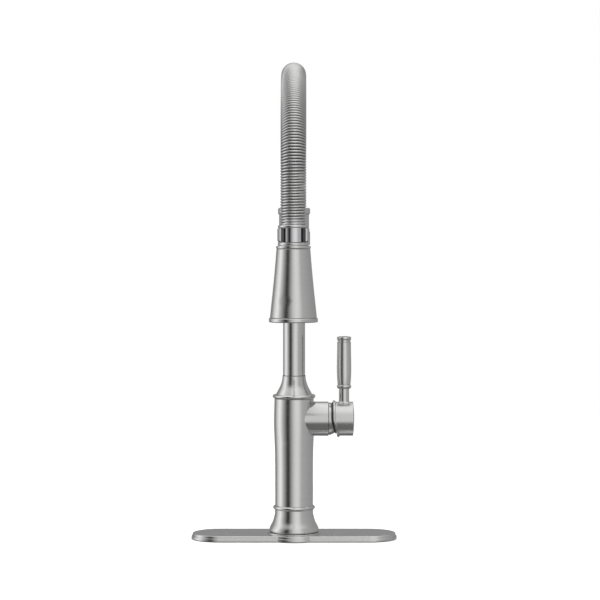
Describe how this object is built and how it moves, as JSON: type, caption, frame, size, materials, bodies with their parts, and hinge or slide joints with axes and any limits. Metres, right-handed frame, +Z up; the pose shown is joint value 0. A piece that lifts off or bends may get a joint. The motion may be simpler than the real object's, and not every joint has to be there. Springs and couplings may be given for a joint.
{
  "type": "pull-down kitchen faucet",
  "caption": "Kitchen faucet with a deck plate, a side lever on a ball-shaped bonnet, an arched spring spout and a bell-shaped pull-down spray wand on a docking arm.",
  "frame": {"origin": "where the faucet's upright axis meets the counter, on the underside of the deck gasket", "axes": "+Z up along the riser; the spout reaches along -Y; the handle stands out along +X"},
  "size_m": [0.2666, 0.3229, 0.6838],
  "materials": {
    "brushed": "satin stainless, fine brushed grain",
    "polished": "mirror polished",
    "spring_wire": "satin stainless wire",
    "steel_hardware": "plain machined",
    "brass": "machined",
    "copper_tube": "drawn tube",
    "rubber": "matte",
    "nozzle_rubber": "matte silicone",
    "white_plastic": "moulded",
    "dark_plastic": "moulded",
    "hose": "braided sleeve",
    "ceramic": "lapped",
    "magnet": "plated ferrite"
  },
  "bodies": {
    "base": {"deck_gasket": "rubber", "deck_plate": "brushed", "mounting_shank": "brass", "body_seals": "rubber", "base_flange": "brushed", "body_shell": "brushed", "neck_collar": "brushed", "swivel_seat": "brass", "riser_bushing": "white_plastic", "riser_seals": "rubber", "valve_body": "brass", "hot_supply_tube": "copper_tube", "cold_supply_tube": "copper_tube", "mixed_outlet_tube": "copper_tube", "cartridge_seals": "rubber", "cartridge_housing": "white_plastic", "ceramic_disc_fixed": "ceramic", "cartridge_nut": "brass", "bonnet_seal": "rubber", "bonnet_dome": "brushed"},
    "cartridge_rotor": {"cartridge_rotor": "white_plastic", "ceramic_disc_moving": "ceramic", "lever_pivot_pin": "steel_hardware"},
    "handle": {"cartridge_stem": "brass", "handle_hub": "brushed", "hub_wiper": "dark_plastic", "set_screw": "steel_hardware", "set_screw_cover": "dark_plastic", "lever_stem": "brushed", "grip_collar": "brushed", "lever_grip": "brushed", "grip_cap": "brushed"},
    "spout": {"riser_tube": "brushed", "rear_collar": "brushed", "docking_arm": "brushed", "yoke_liner": "dark_plastic", "arm_set_screw": "steel_hardware", "docking_sleeve": "polished", "dock_magnet": "magnet", "hose_guide": "white_plastic", "spring": "spring_wire", "spray_hose": "hose"},
    "hose_end": {"hose_front": "hose", "hose_ferrule": "steel_hardware", "swivel_stem": "brass"},
    "wand": {"wand_shell": "brushed", "wand_lip": "brushed", "wand_top_ring": "brushed", "strike_ring": "steel_hardware", "docking_cone": "dark_plastic", "wand_core": "white_plastic", "swivel_retainer": "white_plastic", "check_valve": "white_plastic", "diverter_valve": "white_plastic", "button_pin": "steel_hardware", "spray_face": "dark_plastic", "spray_nozzles": "nozzle_rubber", "aerator_housing": "dark_plastic", "aerator_screen": "white_plastic"},
    "spray_button": {"spray_button": "dark_plastic"}
  },
  "joints": [
    {"name": "spout_swivel", "type": "hinge", "parent": "base", "child": "spout", "pos_m": [0, 0, 0.19], "axis": [0, 0, 1], "continuous": true},
    {"name": "handle_turn", "type": "hinge", "parent": "base", "child": "cartridge_rotor", "pos_m": [0.041, 0, 0.15575], "axis": [1, 0, 0], "range_deg": [-45, 45]},
    {"name": "handle_tilt", "type": "hinge", "parent": "cartridge_rotor", "child": "handle", "pos_m": [0.041, 0, 0.15575], "axis": [0, 1, 0], "range_deg": [0, 22]},
    {"name": "wand_pull", "type": "slide", "parent": "spout", "child": "hose_end", "axis": [0, 0, -1], "range_m": [0, 0.25], "deforming": ["hose_front"]},
    {"name": "wand_swivel", "type": "hinge", "parent": "hose_end", "child": "wand", "pos_m": [0, -0.253, 0.35], "axis": [0, 0, 1], "continuous": true},
    {"name": "spray_button_rock", "type": "hinge", "parent": "wand", "child": "spray_button", "pos_m": [0, -0.235, 0.331], "axis": [1, 0, 0], "range_deg": [0, 9]}
  ]
}
